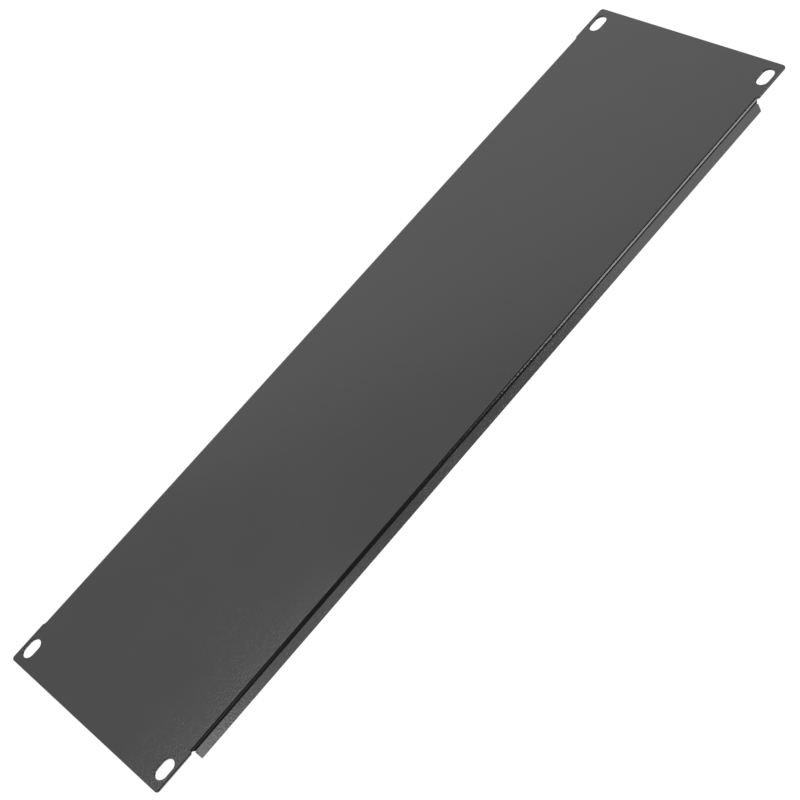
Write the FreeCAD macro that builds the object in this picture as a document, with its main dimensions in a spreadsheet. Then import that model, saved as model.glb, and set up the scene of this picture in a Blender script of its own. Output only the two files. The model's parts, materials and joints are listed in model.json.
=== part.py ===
import FreeCAD, Part
import math
import os

import Sketcher

# Blanking panel for a 19 inch rack, three units high, folded from one piece of steel sheet.
#
# Millimetres. +Z is up and -Y is the side that faces the room, as the panel is bolted to a rack.
# The origin is the middle of the four mounting slots, on the back of the face, where it meets
# the rack's rails.

doc = FreeCAD.newDocument("RackBlankingPanel")

# ---- driving dimensions -----------------------------------------------------------------------

DRIVING = [
    ("panel_width", 482.6, "end to end, the standard 19 inch front"),
    ("panel_height", 132.5, "three rack units, less the gap to the next panel"),
    ("sheet", 1.2, "thickness of the sheet"),
    ("corner_radius", 2.0, "rounded outer corners of the ears"),
    ("ear_length", 25.3, "end of the panel to the end of the folded edges"),
    ("flange_depth", 8.8, "front of the face to the free edge of a flange"),
    ("inner_bend", 0.5, "inside radius of each fold"),
    ("neutral_fibre", 0.33, "share of the sheet, from the inside, where a fold keeps its length"),
    ("slot_from_end", 10.5, "slot centre to the end of the panel"),
    ("slot_from_edge", 5.925, "slot centre to the long edge: 120.65 mm from slot to slot"),
    ("slot_length", 11.5, "end to end, along the panel"),
    ("slot_width", 7.4, "clears a 6 mm rack screw"),
    ("relief_diameter", 2.5, "round hole punched where a fold ends"),
    ("relief_along", 0.7, "relief centre, beyond the end of the flange"),
    ("relief_out", 0.5, "relief centre, beyond the edge of the ear in the flat sheet"),
]

sizes = doc.addObject("Spreadsheet::Sheet", "sizes")
for row, (alias, value, note) in enumerate(DRIVING, start=1):
    sizes.set(f"A{row}", alias)
    sizes.set(f"B{row}", str(value))
    sizes.set(f"C{row}", note)
    sizes.setAlias(f"B{row}", alias)
doc.recompute()

# Sizes that follow from them, as expressions on the spreadsheet.
HALF_WIDTH = "sizes.panel_width / 2"
HALF_HEIGHT = "sizes.panel_height / 2"
FLANGE_LENGTH = "(sizes.panel_width - 2 * sizes.ear_length)"
OUTER_BEND = "(sizes.inner_bend + sizes.sheet)"
BEND_LINE = f"({HALF_HEIGHT} - {OUTER_BEND})"
FREE_EDGE = "(sizes.flange_depth - sizes.sheet)"
BEND_ALLOWANCE = "(sizes.inner_bend + sizes.neutral_fibre * sizes.sheet) * pi / 2"
SLOT_X = f"({HALF_WIDTH} - sizes.slot_from_end)"
SLOT_Z = f"({HALF_HEIGHT} - sizes.slot_from_edge)"
SLOT_STRAIGHT = "(sizes.slot_length - sizes.slot_width)"
RELIEF_X = f"({FLANGE_LENGTH} / 2 + sizes.relief_along)"
RELIEF_IN_EAR = f"({HALF_HEIGHT} + sizes.relief_out)"
RELIEF_IN_LIP = f"(sizes.inner_bend + {OUTER_BEND} + sizes.relief_out - {BEND_ALLOWANCE})"

# ---- sketching helpers ------------------------------------------------------------------------

START, END, CENTRE = range(1, 4)              # points of a line or an arc
LEVEL_AXIS, UPRIGHT_AXIS = range(-1, -3, -1)  # the sketch's own axes
ORIGIN = (LEVEL_AXIS, START)                  # and the point where they meet


def now(expression):
    """Value of an expression with the sizes as they stand, for a sketch's first guess."""
    return float(sizes.evalExpression(expression.replace("sizes.", "")))


def origin_plane(body, role):
    """One of the body's own origin planes, such as XZ_Plane."""
    return next(item for item in body.Origin.OriginFeatures if item.Role == role)


def new_sketch(body, name, role):
    """Empty sketch on one of the body's own origin planes."""
    sketch = body.newObject("Sketcher::SketchObject", name)
    sketch.AttachmentSupport = (origin_plane(body, role), [""])
    sketch.MapMode = "FlatFace"
    return sketch


def add_line(sketch, start, end):
    """Straight edge between two (x, y) points of the sketch."""
    ends = [FreeCAD.Vector(*point, 0) for point in (start, end)]
    return sketch.addGeometry(Part.LineSegment(*ends), False)


def add_arc(sketch, centre, radius, start_deg, end_deg):
    """Anticlockwise arc about an (x, y) point of the sketch."""
    circle = Part.Circle(FreeCAD.Vector(*centre, 0), FreeCAD.Vector(0, 0, 1), radius)
    span = [math.radians(angle) for angle in (start_deg, end_deg)]
    return sketch.addGeometry(Part.ArcOfCircle(circle, *span), False)


def tie(sketch, kind, *where):
    """Constraint that holds no size, such as Horizontal or Tangent."""
    sketch.addConstraint(Sketcher.Constraint(kind, *where))


def measure(sketch, name, kind, *where, is_size):
    """Constraint whose size is bound to an expression on the spreadsheet."""
    index = sketch.addConstraint(Sketcher.Constraint(kind, *where, now(is_size)))
    sketch.renameConstraint(index, name)
    sketch.setExpression(f"Constraints.{name}", is_size)


def chain(sketch, edges, joints):
    """Join each edge's end to the next one's start, round a closed outline."""
    for edge, following, joint in zip(edges, edges[1:] + edges[:1], joints):
        tie(sketch, joint, edge, END, following, START)


# ---- features of the folded sheet -------------------------------------------------------------

def cut(body, name, sketch, depth=None):
    """Pocket behind its sketch, down to a depth, or through everything on both sides of it."""
    before = body.Shape.Volume
    pocket = body.newObject("PartDesign::Pocket", name)
    pocket.Profile = sketch
    if depth is None:
        pocket.Type = "ThroughAll"
        pocket.SideType = "Symmetric"
    else:
        pocket.setExpression("Length", depth)
    doc.recompute()
    if not pocket.Shape.Volume < before:
        raise RuntimeError(f"{name} cut nothing")
    return pocket


def mirrored(body, name, originals, role):
    """The same features on the other side of one of the body's origin planes."""
    mirror = body.newObject("PartDesign::Mirrored", name)
    mirror.Originals = originals
    mirror.MirrorPlane = (origin_plane(body, role), [""])
    body.Tip = mirror
    doc.recompute()
    return mirror


def at_four_corners(body, name, originals):
    """Features of the upper right corner, mirrored to the left and then to the bottom."""
    corners = body.newObject("PartDesign::MultiTransform", name)
    corners.Originals = originals
    mirrors = []
    for role in ("YZ_Plane", "XY_Plane"):
        mirror = body.newObject("PartDesign::Mirrored", f"{name}_{role}")
        mirror.MirrorPlane = (origin_plane(body, role), [""])
        mirrors.append(mirror)
    corners.Transformations = mirrors
    body.Tip = corners
    doc.recompute()
    return corners


def flat_face(body):
    """The face with its ears: a rectangle with rounded corners, from the rails out to the room."""
    sketch = new_sketch(body, "face_outline", "XZ_Plane")
    half_x, half_z = now(HALF_WIDTH), now(HALF_HEIGHT)
    radius = now("sizes.corner_radius")
    in_x, in_z = half_x - radius, half_z - radius
    bottom = add_line(sketch, (-in_x, -half_z), (in_x, -half_z))
    corner_1 = add_arc(sketch, (in_x, -in_z), radius, -90, 0)
    right = add_line(sketch, (half_x, -in_z), (half_x, in_z))
    corner_2 = add_arc(sketch, (in_x, in_z), radius, 0, 90)
    top = add_line(sketch, (in_x, half_z), (-in_x, half_z))
    corner_3 = add_arc(sketch, (-in_x, in_z), radius, 90, 180)
    left = add_line(sketch, (-half_x, in_z), (-half_x, -in_z))
    corner_4 = add_arc(sketch, (-in_x, -in_z), radius, 180, 270)
    outline = [bottom, corner_1, right, corner_2, top, corner_3, left, corner_4]
    chain(sketch, outline, ["Tangent"] * len(outline))
    for edge in (bottom, top):
        tie(sketch, "Horizontal", edge)
    for edge in (right, left):
        tie(sketch, "Vertical", edge)
    for corner in (corner_2, corner_3, corner_4):
        tie(sketch, "Equal", corner_1, corner)
    tie(sketch, "Symmetric", corner_1, CENTRE, corner_3, CENTRE, *ORIGIN)
    measure(sketch, "corner_radius", "Radius", corner_1, is_size="sizes.corner_radius")
    measure(sketch, "width", "DistanceX", left, START, right, START, is_size="sizes.panel_width")
    measure(sketch, "height", "DistanceY", bottom, START, top, START, is_size="sizes.panel_height")
    face = body.newObject("PartDesign::Pad", "face")
    face.Profile = sketch
    face.setExpression("Length", "sizes.sheet")
    doc.recompute()
    return face


def mounting_slot(body):
    """The upper right slot, with full round ends, lying along the panel."""
    sketch = new_sketch(body, "slot_outline", "XZ_Plane")
    radius, half_run = now("sizes.slot_width / 2"), now(f"{SLOT_STRAIGHT} / 2")
    x, z = now(SLOT_X), now(SLOT_Z)
    lower = add_line(sketch, (x - half_run, z - radius), (x + half_run, z - radius))
    outer_end = add_arc(sketch, (x + half_run, z), radius, -90, 90)
    upper = add_line(sketch, (x + half_run, z + radius), (x - half_run, z + radius))
    inner_end = add_arc(sketch, (x - half_run, z), radius, 90, 270)
    outline = [lower, outer_end, upper, inner_end]
    chain(sketch, outline, ["Tangent"] * len(outline))
    tie(sketch, "Horizontal", lower)
    tie(sketch, "Equal", outer_end, inner_end)
    measure(sketch, "end_radius", "Radius", outer_end, is_size="sizes.slot_width / 2")
    measure(sketch, "run", "DistanceX", inner_end, CENTRE, outer_end, CENTRE, is_size=SLOT_STRAIGHT)
    measure(sketch, "inner_x", "DistanceX", *ORIGIN, inner_end, CENTRE,
            is_size=f"{SLOT_X} - {SLOT_STRAIGHT} / 2")
    measure(sketch, "centre_z", "DistanceY", *ORIGIN, inner_end, CENTRE, is_size=SLOT_Z)
    return cut(body, "mounting_slot", sketch)


def relief_outline(body, name, role, across):
    """Sketch of the round relief at the end of the upper right fold."""
    sketch = new_sketch(body, name, role)
    centre = FreeCAD.Vector(now(RELIEF_X), now(across), 0)
    circle = Part.Circle(centre, FreeCAD.Vector(0, 0, 1), now("sizes.relief_diameter / 2"))
    hole = sketch.addGeometry(circle, False)
    measure(sketch, "radius", "Radius", hole, is_size="sizes.relief_diameter / 2")
    measure(sketch, "along", "DistanceX", *ORIGIN, hole, CENTRE, is_size=RELIEF_X)
    measure(sketch, "across", "DistanceY", *ORIGIN, hole, CENTRE, is_size=across)
    return sketch


def relief_in_ear(body):
    """The part of the relief hole that stays in the plane of the face."""
    sketch = relief_outline(body, "ear_relief_outline", "XZ_Plane", RELIEF_IN_EAR)
    return cut(body, "ear_relief", sketch)


def relief_in_lip(body):
    """The part of the relief hole that the fold carries round with the lip."""
    sketch = relief_outline(body, "lip_relief_outline", "XY_Plane", RELIEF_IN_LIP)
    sketch.setExpression("AttachmentOffset.Base.z", HALF_HEIGHT)
    doc.recompute()
    return cut(body, "lip_relief", sketch, depth=OUTER_BEND)


def bend_strip(body):
    """The strip along the top edge that leaves the plane of the face where the fold starts."""
    sketch = new_sketch(body, "strip_outline", "XZ_Plane")
    half_x, low, high = now(f"{FLANGE_LENGTH} / 2"), now(BEND_LINE), now(HALF_HEIGHT)
    points = [(-half_x, low), (half_x, low), (half_x, high), (-half_x, high)]
    edges = [add_line(sketch, *ends) for ends in zip(points, points[1:] + points[:1])]
    chain(sketch, edges, ["Coincident"] * len(edges))
    fold, right, rim, left = edges
    for edge in (right, left):
        tie(sketch, "Vertical", edge)
    tie(sketch, "Horizontal", rim)
    tie(sketch, "Symmetric", fold, START, fold, END, UPRIGHT_AXIS)
    measure(sketch, "length", "DistanceX", fold, START, fold, END, is_size=FLANGE_LENGTH)
    measure(sketch, "fold", "DistanceY", *ORIGIN, fold, START, is_size=BEND_LINE)
    measure(sketch, "rim", "DistanceY", *ORIGIN, rim, START, is_size=HALF_HEIGHT)
    return cut(body, "bend_strip", sketch)


def top_flange(body):
    """The fold and its lip: one section of constant thickness, as long as the folded edge."""
    sketch = new_sketch(body, "flange_section", "YZ_Plane")
    front, outer, inner = -now("sizes.sheet"), now(OUTER_BEND), now("sizes.inner_bend")
    fold_z, top_z, lip_y = now(BEND_LINE), now(HALF_HEIGHT), now(FREE_EDGE)
    centre = (inner, fold_z)
    outside = add_arc(sketch, centre, outer, 90, 180)
    root = add_line(sketch, (front, fold_z), (0, fold_z))
    inside = add_arc(sketch, centre, inner, 90, 180)
    under = add_line(sketch, (inner, fold_z + inner), (lip_y, fold_z + inner))
    edge = add_line(sketch, (lip_y, fold_z + inner), (lip_y, top_z))
    over = add_line(sketch, (lip_y, top_z), (inner, top_z))
    tie(sketch, "Coincident", outside, END, root, START)
    tie(sketch, "Coincident", root, END, inside, END)
    tie(sketch, "Tangent", inside, START, under, START)
    tie(sketch, "Coincident", under, END, edge, START)
    tie(sketch, "Coincident", edge, END, over, START)
    tie(sketch, "Tangent", over, END, outside, START)
    tie(sketch, "Coincident", inside, CENTRE, outside, CENTRE)
    for flat in (root, under, over):
        tie(sketch, "Horizontal", flat)
    tie(sketch, "Vertical", edge)
    tie(sketch, "Horizontal", root, END, inside, CENTRE)
    tie(sketch, "PointOnObject", root, END, UPRIGHT_AXIS)
    measure(sketch, "inner_bend", "Radius", inside, is_size="sizes.inner_bend")
    measure(sketch, "sheet", "DistanceX", root, START, root, END, is_size="sizes.sheet")
    measure(sketch, "fold", "DistanceY", *ORIGIN, root, END, is_size=BEND_LINE)
    measure(sketch, "free_edge", "DistanceX", *ORIGIN, edge, START, is_size=FREE_EDGE)
    flange = body.newObject("PartDesign::Pad", "top_flange")
    flange.Profile = sketch
    flange.SideType = "Symmetric"
    flange.setExpression("Length", FLANGE_LENGTH)
    doc.recompute()
    return flange


def blanking_panel():
    """The whole panel, one body because it is one folded sheet."""
    body = doc.addObject("PartDesign::Body", "blanking_panel")
    body.Label = "blanking_panel"
    flat_face(body)
    at_four_corners(body, "face_cuts", [mounting_slot(body), relief_in_ear(body)])
    mirrored(body, "bottom_flange", [bend_strip(body), top_flange(body)], "XY_Plane")
    at_four_corners(body, "lip_cuts", [relief_in_lip(body)])
    return body


# ---- checks and files -------------------------------------------------------------------------

def check(document, bodies):
    """Stop before anything is written if a feature failed or a body is not one sound solid."""
    for item in document.Objects:
        if {"Invalid", "Error"} & set(item.State):
            raise RuntimeError(f"{item.Label} failed: {item.State}")
    for body in bodies:
        shape = body.Shape
        if shape.isNull() or not shape.isValid() or len(shape.Solids) != 1:
            raise RuntimeError(f"{body.Label} is not one valid solid")


panel = blanking_panel()
doc.recompute()
check(doc, [panel])
os.makedirs("parts", exist_ok=True)
panel.Shape.exportStep(f"parts/{panel.Label}.step")
box = panel.Shape.BoundBox
print(f"{panel.Label}: {box.XLength:.2f} x {box.YLength:.2f} x {box.ZLength:.2f} mm,"
      f" {panel.Shape.Volume:.0f} mm3, {len(panel.Shape.Faces)} faces")
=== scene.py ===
import json
import math

import bpy
from mathutils import Matrix, Vector
from mathutils.geometry import delaunay_2d_cdt


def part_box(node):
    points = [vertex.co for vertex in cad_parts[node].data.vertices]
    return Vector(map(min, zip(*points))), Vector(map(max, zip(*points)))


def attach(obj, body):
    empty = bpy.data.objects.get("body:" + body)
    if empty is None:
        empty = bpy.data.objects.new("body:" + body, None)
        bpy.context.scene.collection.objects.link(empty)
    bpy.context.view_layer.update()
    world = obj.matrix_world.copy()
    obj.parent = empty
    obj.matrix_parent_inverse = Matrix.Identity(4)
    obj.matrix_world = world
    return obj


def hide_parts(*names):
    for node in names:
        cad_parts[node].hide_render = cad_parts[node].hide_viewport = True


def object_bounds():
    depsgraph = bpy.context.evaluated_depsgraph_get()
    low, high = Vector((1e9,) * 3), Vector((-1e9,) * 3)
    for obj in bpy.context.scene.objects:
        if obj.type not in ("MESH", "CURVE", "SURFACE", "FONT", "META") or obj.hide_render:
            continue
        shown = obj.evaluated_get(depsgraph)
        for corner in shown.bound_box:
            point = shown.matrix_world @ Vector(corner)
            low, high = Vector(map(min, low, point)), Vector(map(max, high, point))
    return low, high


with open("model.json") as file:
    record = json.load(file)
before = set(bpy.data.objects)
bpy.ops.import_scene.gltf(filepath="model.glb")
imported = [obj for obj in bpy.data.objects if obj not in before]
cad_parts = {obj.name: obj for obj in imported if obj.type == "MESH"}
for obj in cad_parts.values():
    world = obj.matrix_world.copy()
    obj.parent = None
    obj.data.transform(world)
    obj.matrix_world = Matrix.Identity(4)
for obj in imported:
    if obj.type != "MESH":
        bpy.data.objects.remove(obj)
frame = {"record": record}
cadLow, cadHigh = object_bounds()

# Blanking panel for a 19 inch rack: a flat blank is cut and punched, then folded along both long
# edges. Metres. The room is on the -Y side of the face, and the rack's rails meet it at y = 0.

panelSizes = {
    "cornerRadius": 0.002,       # outer corners of the ears
    "earLength": 0.0253,         # end of the panel to the end of a fold
    "innerBend": 0.0005,         # inside radius of a fold
    "neutralFibre": 0.33,        # share of the sheet, from the inside, that keeps its length
    "reliefRadius": 0.00125,     # round hole where a fold ends
    "reliefAlong": 0.0007,       # its centre, past the end of the fold
    "reliefOut": 0.0005,         # its centre, past the edge of the ear
    "reliefCorner": 0.00045,     # where the relief runs into a straight edge
    "flangeCorner": 0.0006,      # free corners of a flange
    "frontRounding": 0.0004,     # how far the edges are rolled over on the side of the room
    "slotRounding": 0.00028,     # the same in the slots
    "lipRounding": 0.00015,      # the same at a lip's free edge
    "backRounding": 0.00015,     # every edge on the side of the rack
    "twistLength": 0.0014,       # past a fold's end, where the sheet goes back to flat
}

meshSteps = {
    "perQuarter": 14,            # edges in a quarter of a slot end or a corner
    "perRelief": 26,             # edges round a relief
    "perRounding": 4,            # rings from a skin to the cut edge
    "perFold": 14,               # rows across a fold
    "lipRows": (0.25, 0.6),      # rows on a lip, as shares of its depth
    "column": 0.006,             # from point to point along the sheet
    "fineColumn": 0.0002,        # the same near the reliefs
    "clearance": 0.00009,        # points of the skins keep this far from the rolled edges
    "samePoint": 1e-8,           # points closer than this are one
}


def arcPoints(centre, radius, start, end, steps, hollow=False):
    # points of an arc with the direction that leaves the sheet there; angles in radians
    points = []
    for step in range(steps + 1):
        angle = start + (end - start) * step / steps
        away = Vector((math.cos(angle), math.sin(angle)))
        points.append((centre + away * radius, -away if hollow else away))
    return points


def mirroredLoop(points, axis):
    # the mirror image, run backwards so that it joins on
    flip = Vector((-1, 1)) if axis == "x" else Vector((1, -1))
    return [(point * flip, away * flip) for point, away in reversed(points)]


def blankOutline(sizes):
    # one quarter from the right end to the middle of the top flange, then its mirror images
    quarter = math.pi / 2
    relief = sizes["relief"]
    smooth = sizes["reliefCorner"]
    reach = sizes["reliefRadius"] + smooth
    earDrop = relief.y - (sizes["halfHeight"] - smooth)
    earCorner = relief + Vector((math.sqrt(reach ** 2 - earDrop ** 2), -earDrop))
    flangeDrop = relief.x - (sizes["foldEnd"] - smooth)
    flangeRoot = relief + Vector((-flangeDrop, math.sqrt(reach ** 2 - flangeDrop ** 2)))
    toEar = math.atan2(earCorner.y - relief.y, earCorner.x - relief.x)
    toFlange = math.atan2(flangeRoot.y - relief.y, flangeRoot.x - relief.x) - 2 * math.pi
    end = sizes["cornerRadius"]
    endCorner = Vector((sizes["halfWidth"] - end, sizes["halfHeight"] - end))
    tip = sizes["flangeCorner"]
    tipCorner = Vector((sizes["foldEnd"] - tip, sizes["blankHalf"] - tip))
    few = meshSteps["perQuarter"] // 2
    hole = arcPoints(relief, sizes["reliefRadius"], toEar, toFlange, meshSteps["perRelief"],
                     hollow=True)
    points = arcPoints(endCorner, end, 0, quarter, meshSteps["perQuarter"])
    points += arcPoints(earCorner, smooth, quarter, toEar + math.pi, few)
    points += hole[1:-1]         # the arcs beside it bring its ends
    points += arcPoints(flangeRoot, smooth, toFlange + math.pi, 0, few)
    points += arcPoints(tipCorner, tip, 0, quarter, few)
    points += mirroredLoop(points, "x")
    return points + mirroredLoop(points, "y")


def slotOutline(sizes, right, top):
    # a slot with full round ends, clockwise, so that the sheet lies outside it
    quarter = math.pi / 2
    radius = sizes["slotRadius"]
    run = Vector((sizes["slotLength"] / 2 - radius, 0))
    centre = Vector((right * sizes["slotX"], top * sizes["slotZ"]))
    half = 2 * meshSteps["perQuarter"]
    points = arcPoints(centre + run, radius, quarter, -quarter, half, hollow=True)
    points += arcPoints(centre - run, radius, -quarter, -3 * quarter, half, hollow=True)
    return points


def roundedProfile():
    # how far each ring of a cut edge has turned, from the front skin (-1) to the back one (1)
    steps = meshSteps["perRounding"]
    turns = [math.pi / 2 * step / steps for step in range(steps + 1)]
    return [(-1, turn) for turn in turns] + [(1, turn) for turn in reversed(turns)]


def edgeRounding(point, skin, inSlot, sizes):
    # the press rolls the front edges over, and less so in the slots and on the lips
    if skin > 0:
        return sizes["backRounding"]
    if inSlot:
        return sizes["slotRounding"]
    root = sizes["halfHeight"] + sizes["reliefOut"]
    lip = min(max((abs(point.y) - root) / (sizes["blankHalf"] - root), 0.0), 1.0)
    return sizes["frontRounding"] + (sizes["lipRounding"] - sizes["frontRounding"]) * lip


def rowPlaces(sizes):
    # how far each row of points lies from the middle of the blank, finer across a fold
    rows = [sizes["bendLine"] + sizes["allowance"] * step / meshSteps["perFold"]
            for step in range(meshSteps["perFold"] + 1)]
    foldTop = rows[-1]
    flatRows = round(sizes["bendLine"] / meshSteps["column"])
    rows += [sizes["bendLine"] * step / flatRows for step in range(flatRows)]
    lip = sizes["blankHalf"] - foldTop
    rows += [foldTop + lip * share for share in meshSteps["lipRows"]]
    return sorted(set(rows + [-row for row in rows]))


def columnPlaces(sizes):
    # the same along the blank, finer where a fold dies out beside its relief
    start = sizes["foldEnd"] - sizes["reliefRadius"]
    stop = sizes["foldEnd"] + 2 * sizes["twistLength"]
    count = round((stop - start) / meshSteps["fineColumn"])
    columns = [start + (stop - start) * step / count for step in range(count + 1)]
    flatColumns = round(start / meshSteps["column"])
    columns += [start * step / flatColumns for step in range(flatColumns)]
    ear = sizes["halfWidth"] - stop
    earColumns = round(ear / meshSteps["column"])
    columns += [stop + ear * step / earColumns for step in range(1, earColumns)]
    return sorted(set(columns + [-column for column in columns]))


def inSheet(point, sizes):
    # true for a point of the blank that keeps clear of every edge
    clear = meshSteps["clearance"] + sizes["frontRounding"]
    x, z = abs(point.x), abs(point.y)
    if x > sizes["halfWidth"] - clear or z > sizes["blankHalf"] - clear:
        return False
    if z > sizes["halfHeight"] - clear and x > sizes["foldEnd"] - clear:
        return False
    relief = sizes["relief"]
    if (Vector((x, z)) - relief).length < sizes["reliefRadius"] + clear:
        return False
    smooth = sizes["reliefCorner"] + clear
    if z > sizes["bendLine"] and relief.x < x < relief.x + sizes["reliefRadius"] + smooth:
        return z < sizes["halfHeight"] - smooth
    end = sizes["cornerRadius"]
    corner = Vector((max(x - sizes["halfWidth"] + end, 0), max(z - sizes["halfHeight"] + end, 0)))
    if x > sizes["foldEnd"] and corner.length > end - clear:
        return False
    run = sizes["slotLength"] / 2 - sizes["slotRadius"]
    alongSlot = max(abs(x - sizes["slotX"]) - run, 0)
    return math.hypot(alongSlot, z - sizes["slotZ"]) > sizes["slotRadius"] + clear


def skinRows(sizes):
    # the points inside the skins, row by row, and the pairs that each row joins
    points, joined = [], []
    for z in rowPlaces(sizes):
        before = None
        for x in columnPlaces(sizes):
            point = Vector((x, z))
            if not inSheet(point, sizes):
                before = None
                continue
            points.append(point)
            if before is not None:
                joined.append((before, len(points) - 1))
            before = len(points) - 1
    return points, joined


def rollEdge(blank, loop, inSlot, sizes):
    # the cut edge along one loop, ring by ring; gives the numbers of its first and last ring
    profile = roundedProfile()
    first, count = len(blank["points"]), len(loop)
    for skin, turn in profile:
        outward, facing = math.sin(turn), skin * math.cos(turn)
        for point, away in loop:
            rounding = edgeRounding(point, skin, inSlot, sizes)
            place = point - away * rounding * (1 - outward)
            drop = rounding * (1 - math.cos(turn))
            depth = drop - sizes["sheet"] if skin < 0 else -drop
            blank["points"].append((place.x, depth, place.y))
            blank["normals"].append((away.x * outward, facing, away.y * outward))
            blank["cutEdge"].append(outward)
    for ring in range(len(profile) - 1):
        low, high = first + ring * count, first + (ring + 1) * count
        for step in range(count):
            ahead = (step + 1) % count
            blank["faces"].append((low + step, high + step, high + ahead, low + ahead))
    last = first + (len(profile) - 1) * count
    return range(first, first + count), range(last, last + count)


def fillSkin(blank, rims, inside, joined, skin, depth):
    # flat triangles between the rims of one skin, with the slots left open
    numbers = [number for rim in rims for number in rim]
    flat = [Vector((blank["points"][number][0], blank["points"][number][2])) for number in numbers]
    edges, start = [], 0
    for rim in rims:
        edges += [(start + step, start + (step + 1) % len(rim)) for step in range(len(rim))]
        start += len(rim)
    edges += [(start + one, start + other) for one, other in joined]
    first = len(blank["points"])
    blank["points"] += [(point.x, depth, point.y) for point in inside]
    blank["normals"] += [(0.0, skin, 0.0)] * len(inside)
    blank["cutEdge"] += [0.0] * len(inside)
    numbers += range(first, len(blank["points"]))
    insideOnly = 1               # nothing past the outer rim
    found, _, triangles, origins, _, _ = delaunay_2d_cdt(
        flat + inside, edges, [], insideOnly, meshSteps["samePoint"])
    if len(found) != len(numbers):
        raise RuntimeError("the blank's edges cross each other")
    source = [numbers[origin[0]] for origin in origins]
    slots = [set(rim) for rim in rims[1:]]
    for triangle in triangles:
        corners = [source[corner] for corner in triangle]
        if not any(slot.issuperset(corners) for slot in slots):
            blank["faces"].append(corners if skin < 0 else corners[::-1])


def flatBlank(sizes):
    # closed mesh of the blank in the plane of the face, with its normals and its cut edges marked
    blank = {"points": [], "normals": [], "cutEdge": [], "faces": []}
    slots = [slotOutline(sizes, right, top) for right in (-1, 1) for top in (-1, 1)]
    rims = [rollEdge(blank, blankOutline(sizes), False, sizes)]
    rims += [rollEdge(blank, slot, True, sizes) for slot in slots]
    frontRims, backRims = zip(*rims)
    inside, joined = skinRows(sizes)
    fillSkin(blank, frontRims, inside, joined, -1, -sizes["sheet"])
    fillSkin(blank, backRims, inside, joined, 1, 0.0)
    mesh = bpy.data.meshes.new("flatBlank")
    mesh.from_pydata(blank["points"], [], blank["faces"])
    normals = mesh.attributes.new("flatNormal", "FLOAT_VECTOR", "POINT")
    normals.data.foreach_set("vector", [value for normal in blank["normals"] for value in normal])
    cutEdge = mesh.attributes.new("cutEdge", "FLOAT", "POINT")
    cutEdge.data.foreach_set("value", blank["cutEdge"])
    return mesh


class NodeLayout:
    # lays nodes out in a tree, column by column, as they are asked for
    columnWidth, rowHeight, perColumn = 180, 200, 4

    def __init__(self, tree):
        self.tree = tree
        self.count = 0

    def add(self, kind, **settings):
        node = self.tree.nodes.new(kind)
        column, row = divmod(self.count, self.perColumn)
        node.location = (self.columnWidth * column, -self.rowHeight * row)
        self.count += 1
        for name, value in settings.items():
            setattr(node, name, value)
        return node

    def join(self, value, socket):
        if isinstance(value, bpy.types.NodeSocket):
            self.tree.links.new(value, socket)
        else:
            socket.default_value = value

    def calc(self, operation, *values, clamp=False):
        node = self.add("ShaderNodeMath", operation=operation, use_clamp=clamp)
        for value, socket in zip(values, node.inputs):
            self.join(value, socket)
        return node.outputs[0]

    def ramp(self, value, fromRange, toRange, interpolation="SMOOTHSTEP"):
        node = self.add("ShaderNodeMapRange", interpolation_type=interpolation)
        for number, socket in zip((value, *fromRange, *toRange), node.inputs):
            self.join(number, socket)
        return node.outputs["Result"]


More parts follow.
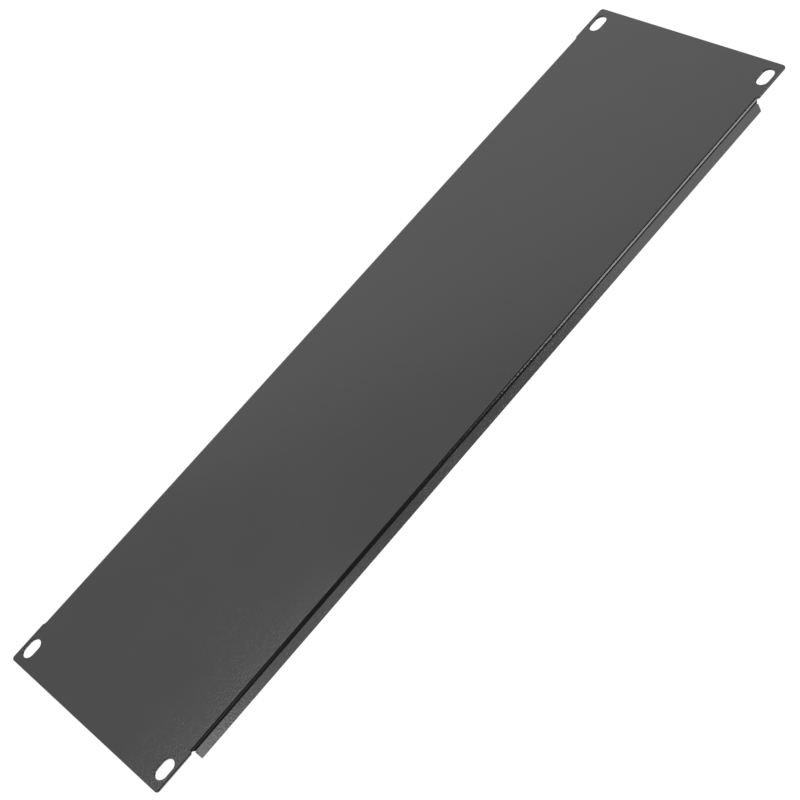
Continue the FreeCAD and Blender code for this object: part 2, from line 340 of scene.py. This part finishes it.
def foldTree():
    # bends both long edges of a flat blank back through a right angle
    tree = bpy.data.node_groups.new("foldLongEdges", "GeometryNodeTree")
    tree.interface.new_socket("Geometry", in_out="INPUT", socket_type="NodeSocketGeometry")
    for name in ("bendLine", "foldEnd", "innerBend", "sheet", "neutralFibre", "twistLength"):
        tree.interface.new_socket(name, in_out="INPUT", socket_type="NodeSocketFloat")
    tree.interface.new_socket("coat", in_out="INPUT", socket_type="NodeSocketMaterial")
    tree.interface.new_socket("Geometry", in_out="OUTPUT", socket_type="NodeSocketGeometry")
    nodes = NodeLayout(tree)
    given = nodes.add("NodeGroupInput").outputs
    place = nodes.add("ShaderNodeSeparateXYZ")
    nodes.join(nodes.add("GeometryNodeInputPosition").outputs[0], place.inputs[0])
    along, depth, across = place.outputs
    side = nodes.calc("SIGN", across)
    distance = nodes.calc("ABSOLUTE", across)
    # the fold keeps the neutral fibre's length, and eases off past its end
    neutralDepth = nodes.calc("MULTIPLY", given["sheet"], given["neutralFibre"])
    neutralRadius = nodes.calc("ADD", given["innerBend"], neutralDepth)
    allowance = nodes.calc("MULTIPLY", neutralRadius, math.pi / 2)
    twistEnd = nodes.calc("ADD", given["foldEnd"], given["twistLength"])
    nearlyFlat = 0.001           # bend kept on the ears, where none would need an endless radius
    fromMiddle = nodes.calc("ABSOLUTE", along)
    bent = nodes.ramp(fromMiddle, (given["foldEnd"], twistEnd), (1.0, nearlyFlat))
    run = nodes.calc("MAXIMUM", nodes.calc("SUBTRACT", distance, given["bendLine"]), 0.0)
    inFold = nodes.calc("MINIMUM", run, allowance)
    pastFold = nodes.calc("SUBTRACT", run, inFold)
    angle = nodes.calc("MULTIPLY", nodes.calc("DIVIDE", inFold, neutralRadius), bent)
    middle = nodes.calc("SUBTRACT", nodes.calc("DIVIDE", neutralRadius, bent), neutralDepth)
    radius = nodes.calc("SUBTRACT", middle, depth)
    sine, cosine = nodes.calc("SINE", angle), nodes.calc("COSINE", angle)
    newDepth = nodes.calc("SUBTRACT", middle, nodes.calc("MULTIPLY", radius, cosine))
    newDepth = nodes.calc("ADD", newDepth, nodes.calc("MULTIPLY", pastFold, sine))
    newAcross = nodes.calc("MINIMUM", distance, given["bendLine"])
    newAcross = nodes.calc("ADD", newAcross, nodes.calc("MULTIPLY", radius, sine))
    newAcross = nodes.calc("ADD", newAcross, nodes.calc("MULTIPLY", pastFold, cosine))
    newAcross = nodes.calc("MULTIPLY", newAcross, side)
    folded = nodes.add("ShaderNodeCombineXYZ")
    for value, socket in zip((along, newDepth, newAcross), folded.inputs):
        nodes.join(value, socket)
    # the normals turn with the sheet
    flatNormal = nodes.add("GeometryNodeInputNamedAttribute", data_type="FLOAT_VECTOR")
    flatNormal.inputs["Name"].default_value = "flatNormal"
    turned = nodes.add("ShaderNodeVectorRotate", rotation_type="X_AXIS")
    nodes.join(flatNormal.outputs["Attribute"], turned.inputs["Vector"])
    tilt = nodes.calc("MULTIPLY", nodes.calc("MULTIPLY", angle, side), -1.0)
    nodes.join(tilt, turned.inputs["Angle"])
    keep = nodes.add("GeometryNodeStoreNamedAttribute", data_type="FLOAT_VECTOR", domain="POINT")
    keep.inputs["Name"].default_value = "coatNormal"
    nodes.join(given["Geometry"], keep.inputs["Geometry"])
    nodes.join(turned.outputs[0], keep.inputs["Value"])
    move = nodes.add("GeometryNodeSetPosition")
    nodes.join(keep.outputs[0], move.inputs["Geometry"])
    nodes.join(folded.outputs[0], move.inputs["Position"])
    smooth = nodes.add("GeometryNodeSetShadeSmooth")
    nodes.join(move.outputs[0], smooth.inputs["Geometry"])
    real = nodes.add("GeometryNodeRealizeInstances")
    nodes.join(smooth.outputs[0], real.inputs["Geometry"])
    finish = nodes.add("GeometryNodeSetMaterial")
    nodes.join(real.outputs[0], finish.inputs["Geometry"])
    nodes.join(given["coat"], finish.inputs["Material"])
    nodes.join(finish.outputs[0], nodes.add("NodeGroupOutput").inputs["Geometry"])
    return tree


def foldedPanel(blank, sizes, coat):
    # runs the folds on the flat blank and keeps the result as a plain mesh
    panel = bpy.data.objects.new("coatedPanel", blank)
    bpy.context.scene.collection.objects.link(panel)
    fold = panel.modifiers.new("folds", "NODES")
    fold.node_group = foldTree()
    values = dict(sizes, coat=coat)
    for item in fold.node_group.interface.items_tree:
        if item.in_out == "INPUT" and item.name in values:
            fold[item.identifier] = values[item.name]
    done = panel.evaluated_get(bpy.context.evaluated_depsgraph_get())
    mesh = bpy.data.meshes.new_from_object(done)
    panel.modifiers.remove(fold)
    panel.data = mesh
    mesh.name = "coatedPanel"
    coatNormal = [item.vector.copy() for item in mesh.attributes["coatNormal"].data]
    mesh.normals_split_custom_set_from_vertices(coatNormal)
    for name in ("flatNormal", "coatNormal"):
        mesh.attributes.remove(mesh.attributes[name])
    return panel


def measuredSizes():
    # the driving sizes above, with what the frame itself gives
    low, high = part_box("blanking_panel")
    slots = next(mount for mount in frame["record"]["mounts"] if mount["name"] == "rack_slots")
    mm = 0.001
    sizes = dict(panelSizes)
    sizes["halfWidth"] = high.x
    sizes["halfHeight"] = high.z
    sizes["sheet"] = -low.y
    sizes["slotX"] = slots["dims"]["spacing_x_mm"] * mm / 2
    sizes["slotZ"] = slots["dims"]["spacing_y_mm"] * mm / 2
    sizes["slotRadius"] = slots["dims"]["hole_r_mm"] * mm
    sizes["slotLength"] = slots["dims"]["slot_length_mm"] * mm
    sizes["foldEnd"] = sizes["halfWidth"] - sizes["earLength"]
    sizes["bendLine"] = sizes["halfHeight"] - sizes["innerBend"] - sizes["sheet"]
    sizes["allowance"] = (sizes["innerBend"] + sizes["neutralFibre"] * sizes["sheet"]) * math.pi / 2
    sizes["blankHalf"] = sizes["bendLine"] + sizes["allowance"] + high.y - sizes["innerBend"]
    sizes["relief"] = Vector((sizes["foldEnd"] + sizes["reliefAlong"],
                              sizes["halfHeight"] + sizes["reliefOut"]))
    return sizes


coatLooks = {
    "colour": (0.014, 0.014, 0.014, 1.0),
    "paleColour": (0.018, 0.018, 0.018, 1.0),
    "driftShare": 0.5,           # how far the slow drift takes the colour to the pale one, how far the grain does, and a cut edge, where the coat is thinner and the paleness also paints in part of its arris highlight
    "speckShare": 0.3,           # how far the grain does,
    "thinCoatAndHighlightShare": 0.2,            # and a cut edge
    "roughness": 0.12,
    "roughnessSpread": 0.03,
    "ior": 1.5,
    "peelSize": 0.0011,          # width of the orange peel's swellings
    "peelDetail": 1.5,
    "peelHeight": 0.000055,
    "grainSize": 0.00035,        # width of the powder's own grain
    "grainDetail": 2.0,
    "grainShare": 0.08,          # its height, as a share of the peel's
    "patchSize": 0.05,           # width of the slow changes of tone and gloss
    "patchDetail": 3.0,
    "patchSpan": (0.3, 0.7),     # the part of the noise that makes the whole change
}


def orangePeelGroup():
    # height of a baked powder coat: broad soft swellings with a fine grain on them
    tree = bpy.data.node_groups.new("orangePeel", "ShaderNodeTree")
    tree.interface.new_socket("Vector", in_out="INPUT", socket_type="NodeSocketVector")
    for name in ("peelSize", "grainSize", "grainShare"):
        tree.interface.new_socket(name, in_out="INPUT", socket_type="NodeSocketFloat")
    tree.interface.new_socket("Height", in_out="OUTPUT", socket_type="NodeSocketFloat")
    tree.interface.new_socket("Grain", in_out="OUTPUT", socket_type="NodeSocketFloat")
    nodes = NodeLayout(tree)
    given = nodes.add("NodeGroupInput").outputs
    heights = []
    for layer in ("peel", "grain"):
        noise = nodes.add("ShaderNodeTexNoise")
        nodes.join(given["Vector"], noise.inputs["Vector"])
        nodes.join(nodes.calc("DIVIDE", 1.0, given[layer + "Size"]), noise.inputs["Scale"])
        noise.inputs["Detail"].default_value = coatLooks[layer + "Detail"]
        heights.append(noise.outputs["Fac"])
    peel, grain = heights
    fine = nodes.calc("MULTIPLY", grain, given["grainShare"])
    result = nodes.add("NodeGroupOutput").inputs
    nodes.join(nodes.calc("ADD", peel, fine), result["Height"])
    nodes.join(grain, result["Grain"])
    return tree


def driftGroup():
    # slow change over the sheet, as the coat's thickness drifts
    tree = bpy.data.node_groups.new("coatDrift", "ShaderNodeTree")
    tree.interface.new_socket("Vector", in_out="INPUT", socket_type="NodeSocketVector")
    tree.interface.new_socket("patchSize", in_out="INPUT", socket_type="NodeSocketFloat")
    tree.interface.new_socket("Drift", in_out="OUTPUT", socket_type="NodeSocketFloat")
    nodes = NodeLayout(tree)
    given = nodes.add("NodeGroupInput").outputs
    noise = nodes.add("ShaderNodeTexNoise")
    nodes.join(given["Vector"], noise.inputs["Vector"])
    nodes.join(nodes.calc("DIVIDE", 1.0, given["patchSize"]), noise.inputs["Scale"])
    noise.inputs["Detail"].default_value = coatLooks["patchDetail"]
    drift = nodes.ramp(noise.outputs["Fac"], coatLooks["patchSpan"], (0.0, 1.0))
    nodes.join(drift, nodes.add("NodeGroupOutput").inputs["Drift"])
    return tree


def powderCoat():
    coat = bpy.data.materials.new("powderCoat")
    coat.use_nodes = True
    coat.node_tree.nodes.clear()
    nodes = NodeLayout(coat.node_tree)
    place = nodes.add("ShaderNodeTexCoord").outputs["Object"]
    peel = nodes.add("ShaderNodeGroup", node_tree=orangePeelGroup())
    drift = nodes.add("ShaderNodeGroup", node_tree=driftGroup())
    for group in (peel, drift):
        nodes.join(place, group.inputs["Vector"])
    for name in ("peelSize", "grainSize", "grainShare"):
        peel.inputs[name].default_value = coatLooks[name]
    drift.inputs["patchSize"].default_value = coatLooks["patchSize"]
    cut = nodes.add("ShaderNodeAttribute", attribute_name="cutEdge").outputs["Fac"]
    tone = nodes.calc("MULTIPLY", drift.outputs["Drift"], coatLooks["driftShare"])
    speck = nodes.calc("MULTIPLY", peel.outputs["Grain"], coatLooks["speckShare"])
    tone = nodes.calc("ADD", tone, speck)
    # a cut edge is paler because the coat is thinner there; this paleness is also partly a painted
    # highlight on the arris
    thinCoatAndHighlight = nodes.calc("MULTIPLY", cut, coatLooks["thinCoatAndHighlightShare"])
    tone = nodes.calc("ADD", tone, thinCoatAndHighlight, clamp=True)
    colour = nodes.add("ShaderNodeMix", data_type="RGBA")
    nodes.join(tone, colour.inputs["Factor"])
    colour.inputs["A"].default_value = coatLooks["colour"]
    colour.inputs["B"].default_value = coatLooks["paleColour"]
    half = coatLooks["roughnessSpread"] / 2
    span = (coatLooks["roughness"] - half, coatLooks["roughness"] + half)
    rough = nodes.ramp(drift.outputs["Drift"], (0.0, 1.0), span, "LINEAR")
    bump = nodes.add("ShaderNodeBump")
    nodes.join(peel.outputs["Height"], bump.inputs["Height"])
    bump.inputs["Distance"].default_value = coatLooks["peelHeight"]
    shader = nodes.add("ShaderNodeBsdfPrincipled")
    nodes.join(colour.outputs["Result"], shader.inputs["Base Color"])
    nodes.join(rough, shader.inputs["Roughness"])
    nodes.join(bump.outputs["Normal"], shader.inputs["Normal"])
    shader.inputs["IOR"].default_value = coatLooks["ior"]
    nodes.join(shader.outputs[0], nodes.add("ShaderNodeOutputMaterial").inputs["Surface"])
    return coat


floorLooks = {
    "below": 0.45,               # floor under the panel's lower edge
    "front": 0.85,               # how far it reaches towards the room
    "back": 8.0,                 # and past the rack
    "half": 8.0,                 # half its width
    "glow": 1.185,               # the table is lit from inside
    "seenGlow": 1.02,            # just white where the camera sees it
}

skyLooks = {
    "glow": 0.02,                # dark studio round the lights
    "seenGlow": 1.02,            # and what the camera sees past the floor
}

# soft boxes: middle, what it faces, width and height, turn in degrees, radiance
softBoxes = {
    "floorLeft": ((-0.60, -0.255, -0.506), (-0.60, -0.255, 0.0), (1.6, 0.9), -28.3, 0.345),
    "floorFront": ((0.0, -1.07, -0.506), (0.0, -1.07, 0.0), (4.0, 1.2), 0.0, 0.105),
    "floorNear": ((0.25, -0.75, -0.506), (0.25, -0.75, 0.0), (0.50, 0.06), 0.0, 4.7),
    "backRight": ((0.525, 1.50, 1.35), (0.525, 0.0, 1.35), (0.75, 1.7), 0.0, 2.0),
    "backRightTop": ((0.28, 1.49, 1.45), (0.28, 0.0, 1.45), (0.85, 0.5), 0.0, 1.2),
    "backFar": ((1.33, 1.50, 0.60), (1.33, 0.0, 0.60), (0.86, 1.5), 0.0, 1.8),
    "backLow": ((-0.30, 1.50, 0.825), (-0.30, 0.0, 0.825), (0.9, 0.65), 0.0, 5.5),
    "backMiddle": ((-0.45, 1.50, 1.45), (-0.45, 0.0, 1.45), (0.64, 0.5), 0.0, 0.76),
    "backLeft": ((-1.625, 1.50, 1.40), (-1.625, 0.0, 1.40), (1.75, 1.6), 0.0, 1.65),
    "sideRight": ((1.60, -0.10, 0.70), (0.0, -0.10, 0.70), (1.6, 1.4), 0.0, 1.6),
    "frontNear": ((0.32, -1.25, 0.85), (0.23, 0.0, 0.06), (0.5, 0.8), 0.0, 0.8),
    "strip": ((-0.84, -1.13, 1.11), (0.0, 0.0, 0.06), (0.64, 1.80), 30.7, 6.4),
}

cameraLooks = {
    "place": (0.21631, -0.64232, 0.62011),
    "aim": (0.0196, -0.0012, 0.01768),
    "roll": 119.823,             # degrees, anticlockwise
    "lens": 80.591,              # mm
    "sensor": 36.0,              # mm
    "nearest": 0.05,
    "farthest": 50.0,
}


def glowByRay(nodes, looks):
    # one glow for the camera's own rays and another for the light on the panel
    chosen = nodes.add("ShaderNodeMix", data_type="FLOAT")
    nodes.join(nodes.add("ShaderNodeLightPath").outputs["Is Camera Ray"], chosen.inputs["Factor"])
    chosen.inputs["A"].default_value = looks["glow"]
    chosen.inputs["B"].default_value = looks["seenGlow"]
    return chosen.outputs["Result"]


def paleFloor():
    level = cadLow.z - floorLooks["below"]
    half, front, back = floorLooks["half"], -floorLooks["front"], floorLooks["back"]
    mesh = bpy.data.meshes.new("paleFloor")
    corners = [(-half, front), (half, front), (half, back), (-half, back)]
    mesh.from_pydata([(x, y, level) for x, y in corners], [], [(0, 1, 2, 3)])
    floor = bpy.data.objects.new("paleFloor", mesh)
    bpy.context.scene.collection.objects.link(floor)
    paint = bpy.data.materials.new("paleFloor")
    paint.use_nodes = True
    paint.node_tree.nodes.clear()
    nodes = NodeLayout(paint.node_tree)
    glow = nodes.add("ShaderNodeEmission")
    nodes.join(glowByRay(nodes, floorLooks), glow.inputs["Strength"])
    nodes.join(glow.outputs[0], nodes.add("ShaderNodeOutputMaterial").inputs["Surface"])
    mesh.materials.append(paint)


def studioSky():
    world = bpy.data.worlds.new("studio")
    bpy.context.scene.world = world
    world.use_nodes = True
    world.node_tree.nodes.clear()
    nodes = NodeLayout(world.node_tree)
    background = nodes.add("ShaderNodeBackground")
    nodes.join(glowByRay(nodes, skyLooks), background.inputs["Strength"])
    nodes.join(background.outputs[0], nodes.add("ShaderNodeOutputWorld").inputs["Surface"])


def aimedAt(place, aim, roll=0.0):
    # matrix of something at a place whose -Z looks at the aim, turned by roll degrees
    turn = (Vector(aim) - Vector(place)).to_track_quat("-Z", "Y").to_matrix().to_4x4()
    return Matrix.Translation(place) @ turn @ Matrix.Rotation(math.radians(roll), 4, "Z")


def softBox(name, place, aim, size, turn, glow):
    lamp = bpy.data.lights.new(name, "AREA")
    lamp.shape = "RECTANGLE"
    lamp.size, lamp.size_y = size
    lamp.energy = glow * math.pi * size[0] * size[1]
    box = bpy.data.objects.new(name, lamp)
    box.matrix_world = aimedAt(place, aim, turn)
    box.visible_camera = False
    bpy.context.scene.collection.objects.link(box)


def studioCamera():
    data = bpy.data.cameras.new("camera")
    data.sensor_width = cameraLooks["sensor"]
    data.lens = cameraLooks["lens"]
    data.clip_start = cameraLooks["nearest"]
    data.clip_end = cameraLooks["farthest"]
    camera = bpy.data.objects.new("camera", data)
    camera.matrix_world = aimedAt(cameraLooks["place"], cameraLooks["aim"], cameraLooks["roll"])
    bpy.context.scene.collection.objects.link(camera)
    bpy.context.scene.camera = camera


studioCamera()
paleFloor()
studioSky()
for name, looks in softBoxes.items():
    softBox(name, *looks)
bpy.context.scene.view_settings.view_transform = "Standard"
print("studio is set")

coat = powderCoat()
print("coat is mixed")

sizes = measuredSizes()
blank = flatBlank(sizes)
print("blank is cut:", len(blank.vertices), "points")

panel = foldedPanel(blank, sizes, coat)
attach(panel, "root")
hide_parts("blanking_panel")
print("panel is folded:", len(panel.data.vertices), "points,", len(panel.data.polygons), "faces")
